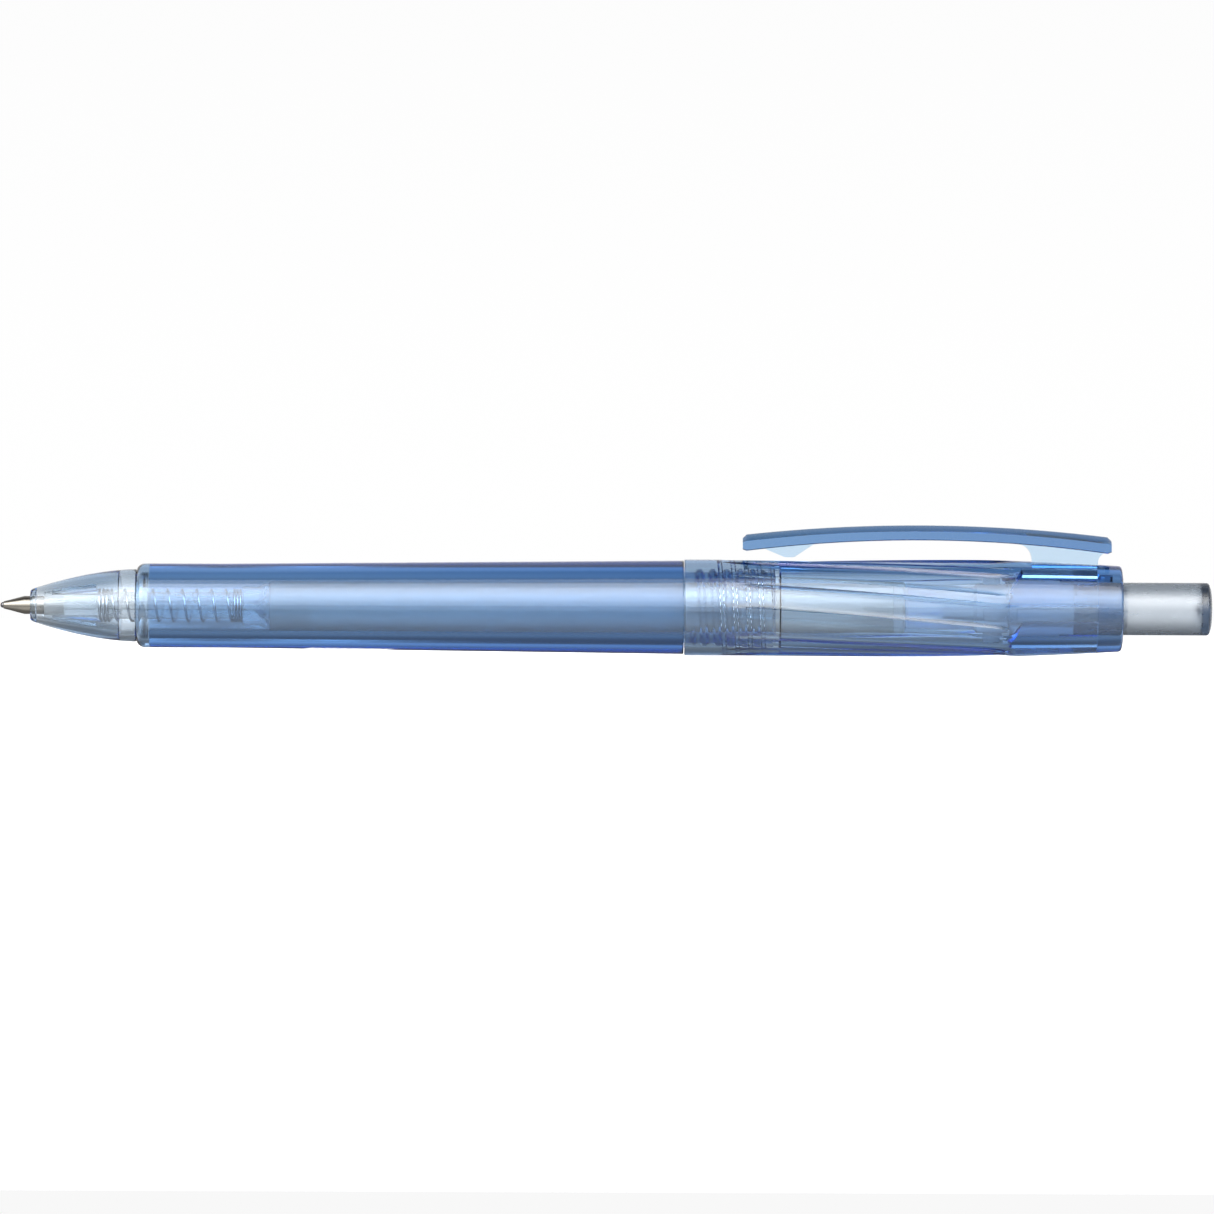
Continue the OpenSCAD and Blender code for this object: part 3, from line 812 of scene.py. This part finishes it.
def make_room():
    """A white room with a bright backdrop behind the pen, and dark cards over and under it."""
    world = bpy.data.worlds.new("room")
    world.use_nodes = True
    bpy.context.scene.world = world
    nodes, links = world.node_tree.nodes, world.node_tree.links
    place = nodes.new("ShaderNodeTexCoord")
    split = nodes.new("ShaderNodeSeparateXYZ")
    links.new(place.outputs["Generated"], split.inputs[0])
    front = nodes.new("ShaderNodeMath")
    front.operation = "MULTIPLY"
    front.inputs[1].default_value = -1
    links.new(split.outputs["Y"], front.inputs[0])
    angle = nodes.new("ShaderNodeMath")
    angle.operation = "ARCTAN2"
    links.new(split.outputs["Z"], angle.inputs[0])
    links.new(front.outputs["Value"], angle.inputs[1])
    share = nodes.new("ShaderNodeMapRange")
    share.inputs["From Min"].default_value = -math.pi
    share.inputs["From Max"].default_value = math.pi
    links.new(angle.outputs["Value"], share.inputs["Value"])
    ramp = nodes.new("ShaderNodeValToRGB")
    ramp.color_ramp.interpolation = "EASE"
    stops = ramp.color_ramp.elements
    while len(stops) < len(ROOM):
        stops.new(0.5)
    for stop, (degrees, level) in zip(stops, ROOM):
        stop.position = (degrees + 180) / 360
        stop.color = (level, level, level, 1)
    links.new(share.outputs["Result"], ramp.inputs["Fac"])
    ends = nodes.new("ShaderNodeMapRange")
    ends.interpolation_type = "SMOOTHSTEP"
    ends.inputs["From Min"].default_value = 0.35
    ends.inputs["From Max"].default_value = 0.7
    side = nodes.new("ShaderNodeMath")
    side.operation = "ABSOLUTE"
    links.new(split.outputs["X"], side.inputs[0])
    links.new(side.outputs["Value"], ends.inputs["Value"])
    mix = nodes.new("ShaderNodeMix")
    mix.data_type = "RGBA"
    mix.inputs["B"].default_value = (0.9, 0.9, 0.9, 1)
    links.new(ends.outputs["Result"], mix.inputs["Factor"])
    links.new(ramp.outputs["Color"], mix.inputs["A"])
    links.new(mix.outputs["Result"], nodes["Background"].inputs["Color"])


def softbox(name, height, level, middle_x, length):
    """A softbox that faces the pen's axis, out of the camera's sight."""
    width = SOFTBOX_DISTANCE * math.radians(SOFTBOX_ANGLE)
    a = math.radians(height)
    data = bpy.data.lights.new(name, "AREA")
    data.shape = "RECTANGLE"
    data.size = length
    data.size_y = width
    data.energy = level * math.pi * length * width
    light = bpy.data.objects.new(name, data)
    bpy.context.scene.collection.objects.link(light)
    toward = Vector((0, -math.cos(a), math.sin(a)))
    light.location = Vector((middle_x, 0, AXIS_Z)) + toward * SOFTBOX_DISTANCE
    light.rotation_euler = (math.pi / 2 - a, 0, 0)
    light.visible_camera = False


def make_softboxes():
    """Long softboxes in a curve in front of the pen, and small ones behind it."""
    for number, (height, level) in enumerate(SOFTBOXES):
        softbox(f"softbox_{number}", height, level, 0, SOFTBOX_LENGTH)
    middle = TIP_X + (FILL_FROM + FILL_TO) / 2 * MM
    for number, (height, level) in enumerate(FILLS):
        softbox(f"fill_{number}", height, level, middle, (FILL_TO - FILL_FROM) * MM)


def make_floor():
    """A pale floor, a hair under the pen."""
    bm = bmesh.new()
    reach, sink = 3, 0.02 * MM
    corners = [(-reach, -reach), (reach, -reach), (reach, reach), (-reach, reach)]
    bm.faces.new([bm.verts.new((x, y, -sink)) for x, y in corners])
    mat, nodes, links, shader = material("floor_pale")
    shader.inputs["Base Color"].default_value = (0.86, 0.87, 0.88, 1)
    shader.inputs["Roughness"].default_value = 0.9
    shader.inputs["Specular IOR Level"].default_value = 0
    shader.inputs["Emission Color"].default_value = (1, 1, 1, 1)
    shader.inputs["Emission Strength"].default_value = 0.5
    floor = finish_mesh("floor", bm, mat)
    floor.visible_transmission = False
    floor.visible_glossy = False


def make_settings():
    """Enough light bounces for clear walls inside each other."""
    scene = bpy.context.scene
    scene.view_settings.view_transform = "Standard"
    scene.cycles.max_bounces = 32
    scene.cycles.transmission_bounces = 32
    scene.cycles.glossy_bounces = 12
    scene.cycles.diffuse_bounces = 4
    scene.cycles.sample_clamp_indirect = 8


make_camera()
make_room()
make_softboxes()
make_floor()
make_settings()
make_nose()
make_front_barrel()
make_rear_barrel()
make_clip()
make_button()
make_point()
make_holder()
make_tube()
make_spring()
dress("ball", carbide)
dress("ball_spring", spring_wire)
dress("ink", ink_gel)
dress("ink_follower", grease)
dress("refill_plug", tube_milky)
dress("rotor", cam_clear)
dress("cam_plunger", cam_clear)
